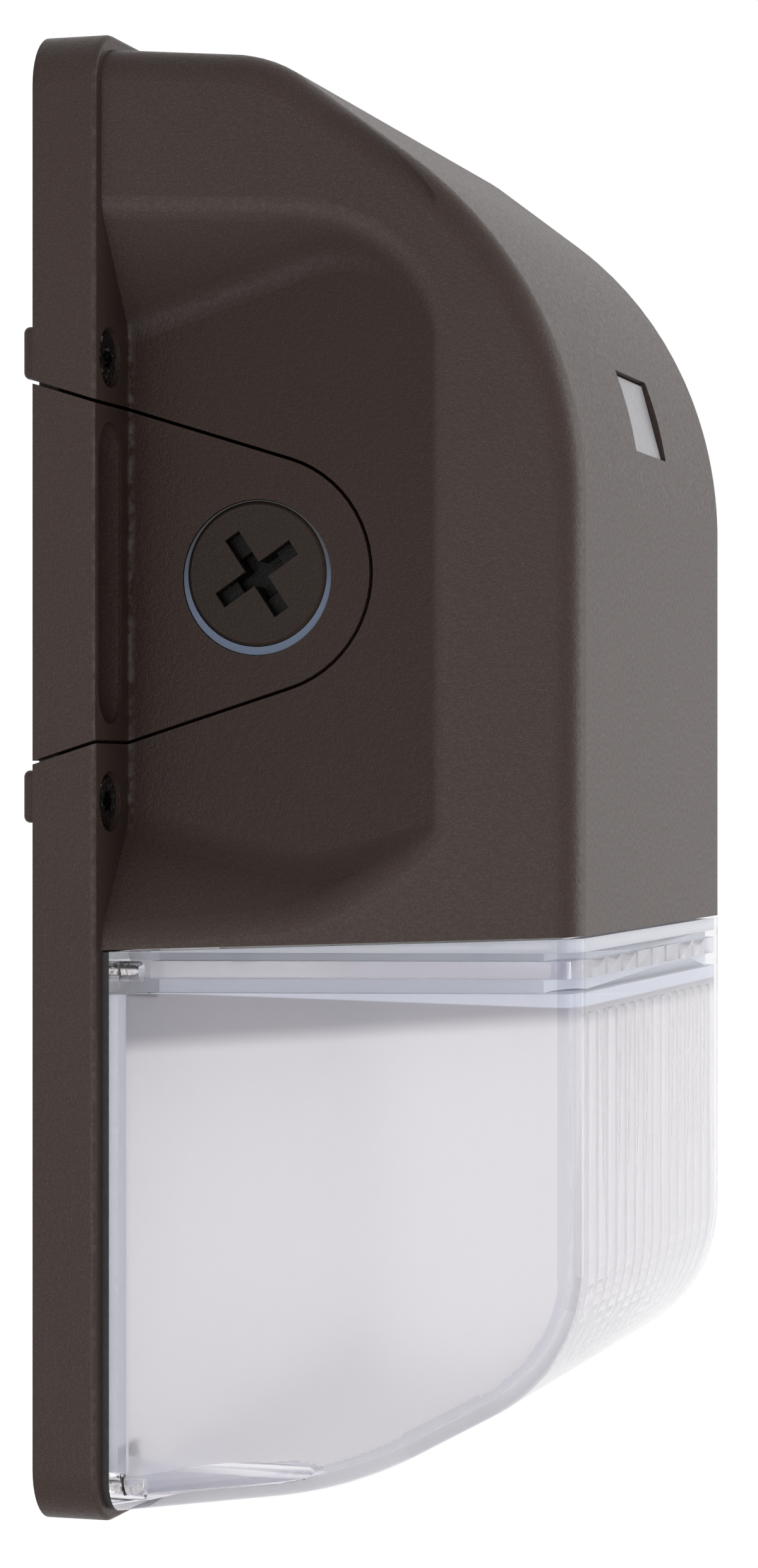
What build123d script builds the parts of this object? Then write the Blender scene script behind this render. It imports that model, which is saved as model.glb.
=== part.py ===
"""Outdoor LED wall light: cast back plate with two conduit ears, cast front housing, clear ribbed lens.

The wall is the plane y = 0, the front faces -Y and +Z is up. The origin is the centre of the wall
box screws, level with the conduit holes. Depths are measured from the wall towards the front.
"""

import os
from math import atan, cos, radians, sin, tan

from build123d import *

os.makedirs("parts", exist_ok=True)

# Rim, the frame that runs all round the back of the front housing
rim_width = 136.0
rim_height = 212.7
rim_corner = 8.0
rim_wall = 2.2
rim_edge_radius = 0.8
rim_depth = 9.5
wall_gap = 2.5
mount_above_middle = 29.2
ledge_thickness = 3.0

# Body of the light, the hood and the lens below it, which share their plan
body_inset = 2.5
body_depth = 66.0
front_inset = 15.5
edge_radius = 5.0
least_edge_radius = 1.0
hood_wall = 3.0
hood_top_inset = 2.2
hood_top_fall = 2.8
shoulder_radius = 17.0
brow_reach = 43.4
brow_slope = 36.9
brow_straight = 23.3
parting_back_height = -53.7
parting_front_height = -51.7
parting_gap = 0.3

# Side pockets of the hood, with a flat floor and sloped walls
pocket_depth = 11.1
pocket_flare = 54.0
pocket_top_gap = 5.0
pocket_top_drop = 27.1
pocket_bottom_gap = 6.0
pocket_heel_rise = 11.0
pocket_end_rise = 20.0
pocket_crown_reach = 28.0
pocket_heel_reach = 38.0
pocket_crown_radius = 16.0
pocket_heel_radius = 14.0
pocket_blend_radius = 7.0
pocket_edge_radius = 6.0

# Conduit ears of the back plate
ear_depth = 31.5
ear_radius = 16.9
ear_taper = 17.4
ear_thickness = 10.0
ear_gap = 0.5
ear_recess_length = 43.2
ear_recess_width = 9.4
ear_recess_depth = 4.0

# Conduit plugs and their seals
plug_shank_diameter = 18.8
plug_shank_length = 9.0
plug_head_overhang = 0.95
plug_head_height = 2.6
plug_slot_length = 13.4
plug_slot_width = 2.5
plug_slot_depth = 2.4
plug_slot_turn = 34.0
plug_slot_core_length = 7.2
plug_slot_core_depth = 4.6
plug_seal_thickness = 1.2
plug_seat_gap = 0.85
plug_seat_drop = 0.5
plug_clearance = 0.3
plug_seal_fit = 0.1
plug_seal_sunk = 0.3
plug_head_chamfer = 0.4
plug_end_chamfer = 0.6

# Back plate
plate_thickness = 3.0
plate_fit = 0.4
pad_margin = 13.8
wall_gasket_gap = 1.0
wall_gasket_width = 6.0
box_screw_spacing = 88.9
box_screw_hole = 4.8
wire_hole = 16.0
grommet_wall = 2.5
grommet_flange_reach = 2.0
grommet_flange_thickness = 1.5
grommet_edge = 0.6
grommet_recess = 0.5
ground_screw_side = 26.0
ground_screw_drop = 26.0
ground_screw_head = 8.0
ground_screw_head_height = 2.4
ground_screw_shank = 4.0
ground_boss_diameter = 10.0
ground_boss_height = 4.0
ground_screw_length = 5.0
ground_slot_width = 1.2
ground_slot_depth = 1.2

# Screws that hold the front housing to the back plate
screw_head = 7.6
screw_head_height = 3.0
screw_shank = 4.0
screw_length = 7.0
screw_sunk = 0.4
screw_ear_gap = 4.9
screw_drop = 0.9
screw_boss_gap = 0.3
screw_boss_wall = 1.5
tab_height = 7.5
tab_rise = 0.7
tab_corner = 1.0
tab_edge = 0.8
screw_counterbore_gap = 0.55
screw_seat_wall = 1.15
screw_seat_height = 3.0
screw_clearance = 0.3
screw_head_chamfer = 0.4
screw_recess_depth = 1.8
screw_recess_radius = 1.35
screw_lobe_radius = 0.45
screw_lobes = 6
screw_fit = 0.1

# Housing gasket
gasket_width = 2.4
gasket_fit = 0.1
gasket_end_gap = 0.6

# Lens
lens_wall = 2.5
lens_slope = 28.2
lens_floor_fall = 6.0
lens_floor_clearance = 1.4
lens_heel_reach = 32.6
lens_front_radius = 24.5
lens_heel_radius = 54.0
lens_gasket_thickness = 1.0
lens_gasket_inset = 0.4
lens_flange_width = 4.0
lens_flange_thickness = 1.6
shelf_drop = 0.4
shelf_reach = 6.5
upper_shelf_thickness = 1.2
lower_shelf_thickness = 2.1
channel_height = 2.5
channel_rib_count = 9
channel_rib_margin = 10.0
channel_rib_width = 1.6
rib_count = 15
rib_margin = 8.0
rib_width = 2.6
rib_height = 1.4
rib_taper = 20.0
rib_drop = 9.0
rib_reach = 28.0
lens_pad = 10.4

# Screws that hold the lens from behind
lens_screw_upper_inset = 8.5
lens_screw_upper_drop = 3.2
lens_screw_lower_inset = 10.0
lens_screw_lower_rise = 5.2
lens_screw_head = 5.2
lens_screw_head_height = 1.5
lens_screw_shank = 2.8
lens_screw_head_edge = 0.8
lens_screw_point = 0.7
lens_screw_reach = 3.0
lens_boss_diameter = 7.4
lens_boss_length = 5.0
lens_long_boss_diameter = 7.6
lens_long_boss_length = 30.0
lens_long_boss_end = 3.4
lens_hole_clearance = 0.2

# Reflector inside the lens
reflector_fit = 0.3

# Light emitting board under the hood floor
board_side_margin = 8.0
board_start = 9.0
board_front_margin = 13.0
board_thickness = 1.6
board_corner = 2.0
led_columns = 6
led_rows = 4
led_side_margin = 14.5
led_end_margin = 8.5
led_width = 3.5
led_length = 2.8
led_height = 0.8
board_screw_margin = 4.0
board_screw_head = 5.4
board_screw_head_height = 1.4
board_screw_shank = 3.0
board_screw_reach = 4.2
connector_inset = 0.5
connector_width = 7.0
connector_length = 8.0
connector_height = 4.0
connector_chamfer = 0.5

# Driver on the hood floor
driver_side_margin = 14.0
driver_front_margin = 5.0
driver_length = 22.0
driver_height = 32.0
driver_flange_reach = 8.0
driver_flange_thickness = 2.0
driver_flange_length = 12.0
driver_boss_height = 4.0
driver_boss_diameter = 8.0
driver_screw_head = 6.0
driver_screw_head_height = 1.6
driver_screw_shank = 3.0
driver_screw_reach = 3.6
driver_corner = 2.0

# Leads from the driver to the board, through a grommet in the hood floor
lead_diameter = 1.6
lead_pitch = 2.2
lead_exit_offset = 7.0
lead_exit_rise = 22.6
lead_hole_start = 30.0
lead_hole = 8.0
lead_bend = 4.0
lead_grommet_wall = 1.7
lead_grommet_reach = 1.0
lead_grommet_lip = 1.0
lead_grommet_gap = 0.6

# Photocell behind its window in the brow
window_rise = 16.1
window_width = 20.7
window_length = 12.8
window_corner = 0.4
window_fit = 0.3
window_sunk = 1.6
window_flange = 3.0
window_flange_thickness = 1.5
sensor_diameter = 8.0
sensor_length = 7.0
sensor_fit = 0.2
sensor_edge = 1.0
sleeve_wall = 1.05
sleeve_length = 5.0

# Points closer than this count as one place
same_place = 0.01

# Degrees of a quarter turn
right_angle = 90.0

# Depths, widths and heights of the housing that follow from the sizes above
ledge_depth = wall_gap + rim_depth
ledge_back = ledge_depth - ledge_thickness
front_depth = ledge_depth + body_depth
rim_middle = -mount_above_middle
rim_top = rim_middle + rim_height / 2
rim_bottom = rim_middle - rim_height / 2
rim_inner_width = rim_width - 2 * rim_wall
rim_inner_height = rim_height - 2 * rim_wall
rim_inner_corner = rim_corner - rim_wall
body_width = rim_width - 2 * body_inset
front_width = body_width - 2 * front_inset
side_draft = front_inset / body_depth
plate_front = wall_gap + plate_thickness
parting_slope = (parting_front_height - parting_back_height) / body_depth

# Conduit ears, plugs and the screws beside them
pocket_floor = body_width / 2 - pocket_depth
ear_turn = radians(ear_taper)
ear_foot = ear_radius / cos(ear_turn) + (ear_depth - wall_gap) * tan(ear_turn)
plug_head_diameter = plug_shank_diameter + 2 * plug_head_overhang
plug_seat_diameter = plug_head_diameter + 2 * plug_seat_gap
screw_counterbore = screw_head + 2 * screw_counterbore_gap
screw_boss = screw_shank + 2 * screw_boss_wall
screw_seat_boss = screw_counterbore + 2 * screw_seat_wall
screw_side = rim_inner_width / 2 - screw_boss / 2 - screw_boss_gap
screw_height = ear_foot + screw_ear_gap
screw_levels = (-screw_height - screw_drop, screw_height - screw_drop)
screw_places = [(x, z) for x in (-screw_side, screw_side) for z in screw_levels]
tab_places = [(x, z + tab_rise) for x, z in screw_places]
boss_front = ledge_back - screw_seat_height - gasket_fit

# Back plate
plate_width = rim_inner_width - 2 * plate_fit
plate_height = rim_inner_height - 2 * plate_fit
plate_corner = rim_inner_corner - plate_fit
pad_diameter = rim_inner_width - 2 * pad_margin
grommet_bore = wire_hole - 2 * grommet_wall
grommet_flange = wire_hole + 2 * grommet_flange_reach
ground_screw_place = (ground_screw_side, -ground_screw_drop)

# Lens, its screws and the ledge that it stands on
gasket_front = ledge_depth + lens_gasket_thickness
lens_heel_depth = front_depth - lens_heel_reach
upper_shelf_top = parting_back_height - shelf_drop
channel_top = upper_shelf_top - upper_shelf_thickness
channel_bottom = channel_top - channel_height
shelf_levels = ((channel_top, upper_shelf_top), (channel_bottom - lower_shelf_thickness, channel_bottom))
channel_rib_pitch = (front_width - 2 * channel_rib_margin) / (channel_rib_count - 1)
rib_pitch = (front_width - 2 * rib_margin) / (rib_count - 1)
upper_screw_places = [(side * (rim_width / 2 - lens_screw_upper_inset),
                       parting_back_height - lens_screw_upper_drop) for side in (-1, 1)]
lower_screw_places = [(side * (rim_width / 2 - lens_screw_lower_inset),
                       rim_bottom + lens_screw_lower_rise) for side in (-1, 1)]
lens_screw_places = upper_screw_places + lower_screw_places

# Board, driver and leads, with distances along the hood floor measured from the ledge
board_width = front_width - 2 * board_side_margin
board_length = body_depth - board_start - board_front_margin
board_middle = board_start + board_length / 2
led_pitch_x = (board_width - 2 * led_side_margin) / (led_columns - 1)
led_pitch_y = (board_length - 2 * led_end_margin) / (led_rows - 1)
board_screw_width = board_width - 2 * board_screw_margin
board_screw_length = board_length - 2 * board_screw_margin
driver_width = front_width - 2 * driver_side_margin
driver_middle = body_depth - driver_front_margin - driver_length / 2
driver_flange_width = driver_width + 2 * driver_flange_reach
driver_screw_side = (driver_width + driver_flange_reach) / 2
driver_screw_spots = [(-driver_screw_side, driver_middle), (driver_screw_side, driver_middle)]
lead_grommet_bore = lead_hole - 2 * lead_grommet_wall
lead_grommet_flange = lead_hole + 2 * lead_grommet_reach
lead_side = board_width / 2 + lead_grommet_gap + lead_grommet_flange / 2
lead_hole_place = (lead_side, lead_hole_start)
lead_hole_depth = ledge_depth + lead_hole_start
lead_start_depth = ledge_depth + driver_middle - driver_length / 2 + lead_exit_offset
connector_end = board_width / 2 - connector_inset

# Plane on the left of the light, seen from outside: depth to the right, height up
left_side = Plane(origin=(0, 0, 0), x_dir=(0, -1, 0), z_dir=(-1, 0, 0))

# Planes of the hood floor, seen from below: width, then distance from the ledge towards the front
floor_down = Vector(0, -parting_slope, -1).normalized()
floor_underside = Plane(origin=(0, -ledge_depth, parting_back_height), x_dir=(1, 0, 0), z_dir=floor_down)
floor_top = floor_underside.offset(-hood_wall)


def front(depth):
    """Plane parallel to the wall at a depth, seen from the front."""
    return Plane.XZ.offset(depth)


def half_width(depth):
    """Half the width of the body at a depth."""
    return front_width / 2 + (front_depth - depth) * side_draft


def parting_height(depth):
    """Height of the joint between hood and lens at a depth."""
    return parting_back_height + (depth - ledge_depth) * parting_slope


def inner_edge_radius(inset):
    """Radius of the body's rounded edges at an inset from its outside."""
    return max(edge_radius - inset, least_edge_radius)


# Outline of the hood in the side view: the brow's arc touches the straight brow and the front face
hood_top = rim_top - hood_top_inset
top_slope = -tan(radians(hood_top_fall))
shoulder_depth = front_depth - brow_reach
shoulder = (shoulder_depth, hood_top + top_slope * (shoulder_depth - ledge_depth))
brow_angle = radians(brow_slope)
brow_turn = radians(right_angle - brow_slope)
brow_tangent = brow_reach / cos(brow_angle) - brow_straight
brow_radius = brow_tangent / tan(brow_turn / 2)
brow_foot = shoulder[1] - brow_reach * tan(brow_angle) - brow_tangent
brow_centre = (front_depth - brow_radius, brow_foot)
brow_start = (brow_centre[0] + brow_radius * sin(brow_angle), brow_foot + brow_radius * cos(brow_angle))
brow_bend = brow_angle + brow_turn / 2
brow_middle = (brow_centre[0] + brow_radius * sin(brow_bend), brow_foot + brow_radius * cos(brow_bend))

# Outline of the lens in the side view
lens_floor = rim_bottom + lens_floor_clearance
floor_slope = tan(radians(lens_floor_fall))
lens_heel = (lens_heel_depth, lens_floor + (lens_heel_depth - ledge_depth) * floor_slope)
lens_toe = (front_depth, lens_heel[1] + lens_heel_reach * tan(radians(lens_slope)))


def plan_outline(inset, back_depth):
    """Corners of the body in plan, inset from its sides, from a depth at the back to past the front."""
    inset_x = inset * (1 + side_draft**2) ** 0.5
    past = front_depth + edge_radius
    back_half = half_width(back_depth) - inset_x
    past_half = half_width(past) - inset_x
    return [(-back_half, -back_depth), (back_half, -back_depth), (past_half, -past), (-past_half, -past)]


def side_edges(form):
    """Edges of the two side faces that are rounded: all but those at the joint and at the back."""
    sides = [form.faces().sort_by(Axis.X)[0], form.faces().sort_by(Axis.X)[-1]]
    edges = ShapeList(edge for side in sides for edge in side.edges())
    back = form.vertices().sort_by(Axis.Y)[-1].Y
    rounded = ShapeList()
    for edge in edges:
        ends = [edge @ 0, edge @ 1]
        at_back = all(abs(end.Y - back) < same_place for end in ends)
        at_joint = all(abs(end.Z - parting_height(-end.Y)) < 2 * hood_wall for end in ends)
        if not at_back and not at_joint:
            rounded.append(edge)
    return rounded


def hood_form(inset, back_depth):
    """The hood as a closed form, inset from its outside, starting at a depth at the back."""
    back = (back_depth, hood_top + top_slope * (back_depth - ledge_depth))
    with BuildPart() as form:
        with BuildSketch(left_side) as side:
            with BuildLine():
                Polyline(back, shoulder, brow_start)
                ThreePointArc(brow_start, brow_middle, (front_depth, brow_foot))
                Polyline(
                    (front_depth, brow_foot),
                    (front_depth, parting_front_height),
                    (back_depth, parting_height(back_depth)),
                    back,
                )
            make_face()
            fillet(side.vertices().sort_by_distance(Vector(*shoulder))[0], shoulder_radius)
            if inset > 0:
                offset(amount=-inset, kind=Kind.INTERSECTION, mode=Mode.REPLACE)
        extrude(amount=rim_width, both=True)
        with BuildSketch(Plane.XY):
            Polygon(*plan_outline(inset, back_depth), align=None)
        extrude(amount=rim_height, both=True, mode=Mode.INTERSECT)
        fillet(side_edges(form.part), inner_edge_radius(inset))
    return form.part


def pocket_form(floor):
    """Cutter for both side pockets: a flat floor at a half width, with walls that slope outwards."""
    crown = (front_depth - pocket_crown_reach, hood_top - pocket_top_drop)
    heel = (front_depth - pocket_heel_reach, parting_back_height + pocket_heel_rise)
    with BuildPart() as form:
        with BuildSketch(left_side.offset(floor)) as outline:
            with BuildLine():
                Polyline(
                    (0, ear_foot + pocket_top_gap),
                    crown,
                    (front_depth, brow_foot),
                    (front_depth, parting_front_height + pocket_end_rise),
                    heel,
                    (0, -ear_foot - pocket_bottom_gap),
                    close=True,
                )
            make_face()
            fillet(outline.vertices().sort_by_distance(Vector(*crown))[0], pocket_crown_radius)
            fillet(outline.vertices().sort_by_distance(Vector(*heel))[0], pocket_heel_radius)
        extrude(amount=rim_width / 2 - floor + hood_wall, taper=-pocket_flare)
        fillet(form.faces().sort_by(Axis.X)[-1].edges(), pocket_blend_radius)
        mirror(about=Plane.YZ)
    return form.part


def pocket_edges(form):
    """Edges where the side pockets leave the flat sides of the hood."""
    facing = cos(atan(side_draft))
    flat = form.faces().filter_by(GeomType.PLANE)
    sides = flat.filter_by(lambda face: abs(abs(face.normal_at().X) - facing) < same_place)
    found = ShapeList()
    for edge in sides.edges():
        middle = edge @ 0.5
        past_back = -middle.Y > ledge_depth + same_place
        over_joint = middle.Z > parting_height(-middle.Y) + same_place
        under_brow = middle.Z < hood_top - pocket_top_drop + 2 * hood_wall
        before_front = abs(middle.X) > pocket_floor - same_place
        if past_back and over_joint and under_brow and before_front:
            found.append(edge)
    return found


def ear_outline(plane, gap):
    """Outline of an ear on a side plane, grown by a gap: a round end with straight flanks."""
    radius = ear_radius + gap
    flank = (ear_depth + radius * sin(ear_turn), radius * cos(ear_turn))
    foot_depth = wall_gap - gap
    foot = radius / cos(ear_turn) + (ear_depth - foot_depth) * tan(ear_turn)
    with BuildSketch(plane) as outline:
        with BuildLine():
            ThreePointArc(flank, (ear_depth + radius, 0), (flank[0], -flank[1]))
            Polyline((flank[0], -flank[1]), (foot_depth, -foot), (foot_depth, foot), flank)
        make_face()
    return outline.sketch


def lens_form(inset, back_depth, rise):
    """The lens as a closed form, inset from its outside, from a depth at the back, raised at the joint."""
    top_lift = rise - parting_gap
    with BuildPart() as form:
        with BuildSketch(left_side) as side:
            with BuildLine():
                Polyline(
                    (back_depth, parting_height(back_depth) + top_lift),
                    (front_depth, parting_front_height + top_lift),
                    lens_toe,
                    lens_heel,
                    (back_depth, lens_floor + (back_depth - ledge_depth) * floor_slope),
                    close=True,
                )
            make_face()
            fillet(side.vertices().sort_by_distance(Vector(*lens_toe))[0], lens_front_radius)
            fillet(side.vertices().sort_by_distance(Vector(*lens_heel))[0], lens_heel_radius)
            if inset > 0:
                offset(amount=-inset, kind=Kind.INTERSECTION, mode=Mode.REPLACE)
        extrude(amount=rim_width, both=True)
        with BuildSketch(Plane.XY):
            Polygon(*plan_outline(inset, back_depth), align=None)
        extrude(amount=rim_height, both=True, mode=Mode.INTERSECT)
        fillet(side_edges(form.part), inner_edge_radius(inset))
    return form.part


def lens_side(inset):
    """Outline of the lens in the side view, depth then height, inset all round."""
    with BuildSketch(Plane.XY) as side:
        with BuildLine():
            Polyline(
                (ledge_depth, parting_back_height),
                (front_depth, parting_back_height),
                lens_toe,
                lens_heel,
                (ledge_depth, lens_floor),
                close=True,
            )
        make_face()
        fillet(side.vertices().sort_by_distance(Vector(*lens_toe))[0], lens_front_radius)
        fillet(side.vertices().sort_by_distance(Vector(*lens_heel))[0], lens_heel_radius)
        offset(amount=-inset, kind=Kind.INTERSECTION, mode=Mode.REPLACE)
    return side.sketch


def lens_section(depth, inset):
    """Outline of the lens at a depth, seen from the front, inset at its sides and its floor."""
    half = half_width(depth) - inset
    top = parting_height(depth) - parting_gap
    floor = lens_floor + (depth - ledge_depth) * floor_slope + inset
    with BuildSketch(front(depth)) as outline:
        Polygon((-half, floor), (half, floor), (half, top), (-half, top), align=None)
        fillet(outline.vertices().group_by(Axis.Y)[0], inner_edge_radius(inset))
    return outline.sketch


def shelf_outline(height, inset, back_depth):
    """Plan of the lens at a height, inset from its sides and its front."""
    tip = front_depth - inset
    back_half = half_width(back_depth) - inset
    tip_half = half_width(tip) - inset
    corners = [(-back_half, -back_depth), (back_half, -back_depth), (tip_half, -tip), (-tip_half, -tip)]
    with BuildSketch(Plane.XY.offset(height)) as outline:
        Polygon(*corners, align=None)
    return outline.sketch


# Front housing: hood, rim and ledge in one casting, open at the back
hood_cutter = pocket_form(pocket_floor)
hood_room_keeper = pocket_form(pocket_floor - hood_wall)
hood_outside = hood_form(0, ledge_depth)
hood_inside = hood_form(hood_wall, wall_gap)

with BuildPart() as hood:
    add(hood_outside)
    add(hood_cutter, mode=Mode.SUBTRACT)
    fillet(pocket_edges(hood.part), pocket_edge_radius)

with BuildPart() as hood_room:
    add(hood_inside)
    add(hood_room_keeper, mode=Mode.SUBTRACT)

# The window sits square to the brow at its own height
window_turn = window_rise / brow_radius
window_out = Vector(0, -((1 - window_turn**2) ** 0.5), window_turn)
window_middle = Vector(0, -brow_centre[0], brow_foot) + window_out * brow_radius
window_face = Plane(origin=window_middle, x_dir=(1, 0, 0), z_dir=window_out)
window_seat = window_face.offset(-hood_wall)

# Room for the ears, open towards the wall so that the housing lifts straight off
notch_start = pocket_floor - 2 * hood_wall
notch_outline = ear_outline(left_side.offset(notch_start), ear_gap)
with BuildPart() as ear_notch:
    extrude(notch_outline, amount=rim_width / 2 - notch_start + hood_wall)
    mirror(about=Plane.YZ)

with BuildPart() as front_housing:
    with BuildSketch(front(wall_gap)):
        with Locations((0, rim_middle)):
            RectangleRounded(rim_width, rim_height, rim_corner)
    extrude(amount=rim_depth)
    fillet(front_housing.faces().sort_by(Axis.Y)[0].edges(), rim_edge_radius)
    add(hood.part)
    with BuildSketch(front(wall_gap)):
        with Locations((0, rim_middle)):
            RectangleRounded(rim_inner_width, rim_inner_height, rim_inner_corner)
    extrude(amount=ledge_back - wall_gap, mode=Mode.SUBTRACT)
    with BuildSketch(front(ledge_back - screw_seat_height)):
        with Locations(*screw_places):
            Circle(screw_seat_boss / 2)
        with Locations((0, rim_middle)):
            RectangleRounded(rim_width - rim_wall, rim_height - rim_wall, rim_corner, mode=Mode.INTERSECT)
    extrude(amount=screw_seat_height)
    add(hood_room.part, mode=Mode.SUBTRACT)
    add(ear_notch.part, mode=Mode.SUBTRACT)
    with Locations(front(ledge_depth)):
        with Locations(*screw_places):
            CounterBoreHole(
                radius=screw_shank / 2 + screw_clearance,
                counter_bore_radius=screw_counterbore / 2,
                counter_bore_depth=screw_head_height + screw_sunk,
                depth=rim_depth,
            )
        with Locations(*lens_screw_places):
            Hole(radius=lens_screw_shank / 2 + lens_hole_clearance, depth=ledge_thickness)
    with BuildSketch(floor_top):
        with Locations(*driver_screw_spots):
            Circle(driver_boss_diameter / 2)
            Circle(driver_screw_shank / 2 + screw_fit, mode=Mode.SUBTRACT)
    extrude(amount=-driver_boss_height)
    with Locations(floor_underside):
        with Locations((0, board_middle)):
            with GridLocations(board_screw_width, board_screw_length, 2, 2):
                Hole(radius=board_screw_shank / 2 + screw_fit, depth=hood_wall)
        with Locations(lead_hole_place):
            Hole(radius=lead_hole / 2, depth=2 * hood_wall)
    with BuildSketch(window_face.offset(hood_wall)):
        RectangleRounded(window_width, window_length, window_corner)
    extrude(amount=-3 * hood_wall, mode=Mode.SUBTRACT)
    with BuildSketch(window_seat):
        seat_width = window_width + 2 * window_flange + 2 * window_fit
        seat_length = window_length + 2 * window_flange + 2 * window_fit
        Rectangle(seat_width, seat_length)
    extrude(amount=-hood_wall, mode=Mode.SUBTRACT)
front_housing.part.label = "front_housing"
export_step(front_housing.part, "parts/front_housing.step")

# Window and light sensor of the photocell
with BuildPart() as photocell_window:
    with BuildSketch(window_seat):
        RectangleRounded(window_width - 2 * window_fit, window_length - 2 * window_fit, window_corner)
    extrude(amount=hood_wall - window_sunk)
    with BuildSketch(window_seat):
        RectangleRounded(window_width + 2 * window_flange, window_length + 2 * window_flange, window_corner)
    extrude(amount=-window_flange_thickness)
    with BuildSketch(window_seat.offset(-window_flange_thickness)):
        Circle(sensor_diameter / 2 + sensor_fit + sleeve_wall)
        Circle(sensor_diameter / 2 + sensor_fit, mode=Mode.SUBTRACT)
    extrude(amount=-sleeve_length)
photocell_window.part.label = "photocell_window"
export_step(photocell_window.part, "parts/photocell_window.step")

with BuildPart() as photocell_sensor:
    with BuildSketch(window_seat.offset(-window_flange_thickness)):
        Circle(sensor_diameter / 2)
    extrude(amount=-sensor_length)
    fillet(photocell_sensor.faces().sort_by(Axis.Y)[0].edges(), sensor_edge)
photocell_sensor.part.label = "photocell_sensor"
export_step(photocell_sensor.part, "parts/photocell_sensor.step")

# Back plate: flat casting inside the rim, with a round pad and four tabs on the wall, and two ears
ear_plane = left_side.offset(pocket_floor)
ear_face = ear_outline(ear_plane, 0)

with BuildPart() as left_ear:
    extrude(ear_face, amount=-ear_thickness)
    extrude(ear_face, amount=rim_width / 2 - pocket_floor)
    with BuildSketch(front(ledge_depth)):
        with Locations((-rim_width / 2, 0)):
            Rectangle(rim_width - 2 * pocket_floor, rim_height)
    extrude(amount=body_depth, mode=Mode.SUBTRACT)
    with BuildSketch(front(ledge_depth)):
        with Locations((-screw_side, 0)):
            SlotOverall(ear_recess_length, ear_recess_width, rotation=90)
    extrude(amount=-ear_recess_depth, mode=Mode.SUBTRACT)
    with BuildSketch(ear_plane):
        with Locations((ear_depth, -plug_seat_drop)):
            Circle(plug_seat_diameter / 2)
    extrude(amount=-plug_head_height - plug_seal_thickness, mode=Mode.SUBTRACT)
    with Locations(ear_plane):
        with Locations((ear_depth, 0)):
            Hole(radius=plug_shank_diameter / 2 + plug_clearance, depth=ear_thickness)

with BuildPart() as wall_tabs:
    with BuildSketch(front(0)):
        with Locations(*tab_places):
            RectangleRounded(screw_boss, tab_height, tab_corner)
    extrude(amount=wall_gap)
    fillet(wall_tabs.faces().group_by(Axis.Y)[-1].edges(), tab_edge)

with BuildPart() as back_plate:
    with BuildSketch(front(wall_gap)):
        with Locations((0, rim_middle)):
            RectangleRounded(plate_width, plate_height, plate_corner)
    extrude(amount=plate_thickness)
    with BuildSketch(front(0)):
        Circle(pad_diameter / 2)
    extrude(amount=wall_gap)
    add(wall_tabs.part)
    with BuildSketch(front(wall_gap)):
        with Locations(*screw_places):
            Circle(screw_boss / 2)
    extrude(amount=boss_front - wall_gap)
    with BuildSketch(front(plate_front)):
        with Locations(ground_screw_place):
            Circle(ground_boss_diameter / 2)
    extrude(amount=ground_boss_height)
    add(left_ear.part)
    mirror(left_ear.part, about=Plane.YZ)
    with Locations(front(plate_front)):
        Hole(radius=wire_hole / 2, depth=plate_front)
        with Locations((0, -box_screw_spacing / 2), (0, box_screw_spacing / 2)):
            Hole(radius=box_screw_hole / 2, depth=plate_front)
    with Locations(front(boss_front)):
        with Locations(*screw_places):
            Hole(radius=screw_shank / 2 + screw_clearance, depth=ledge_back)
    with Locations(front(plate_front + ground_boss_height)):
        with Locations(ground_screw_place):
            Hole(radius=ground_screw_shank / 2 + screw_fit, depth=ground_screw_length + screw_fit)
back_plate.part.label = "back_plate"
export_step(back_plate.part, "parts/back_plate.step")

# Foam ring round the wall pad
with BuildPart() as wall_gasket:
    with BuildSketch(front(0)):
        Circle(pad_diameter / 2 + wall_gasket_gap + wall_gasket_width)
        Circle(pad_diameter / 2 + wall_gasket_gap, mode=Mode.SUBTRACT)
    extrude(amount=wall_gap)
wall_gasket.part.label = "wall_gasket"
export_step(wall_gasket.part, "parts/wall_gasket.step")

# Rubber grommet for the supply leads
with BuildPart() as wire_grommet:
    with BuildSketch(front(grommet_recess)):
        Circle(wire_hole / 2)
    extrude(amount=plate_front - grommet_recess)
    with BuildSketch(front(plate_front)):
        Circle(grommet_flange / 2)
    extrude(amount=grommet_flange_thickness)
    with Locations(front(plate_front + grommet_flange_thickness)):
        Hole(radius=grommet_bore / 2)
    outer = wire_grommet.faces().sort_by(Axis.Y)[0].edges().sort_by(SortBy.RADIUS)[-1]
    fillet(outer, grommet_edge)
wire_grommet.part.label = "wire_grommet"
export_step(wire_grommet.part, "parts/wire_grommet.step")

# Earth screw on its boss
with BuildPart() as ground_screw:
    with BuildSketch(front(plate_front + ground_boss_height)):
        with Locations(ground_screw_place):
            Circle(ground_screw_shank / 2)
    extrude(amount=-ground_screw_length)
    with BuildSketch(front(plate_front + ground_boss_height)):
        with Locations(ground_screw_place):
            RegularPolygon(ground_screw_head / 2, 6)
    extrude(amount=ground_screw_head_height)
    with BuildSketch(front(plate_front + ground_boss_height + ground_screw_head_height)):
        with Locations(ground_screw_place):
            Rectangle(ground_screw_head, ground_slot_width)
    extrude(amount=-ground_slot_depth, mode=Mode.SUBTRACT)
ground_screw.part.label = "ground_screw"
export_step(ground_screw.part, "parts/ground_screw.step")

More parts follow.
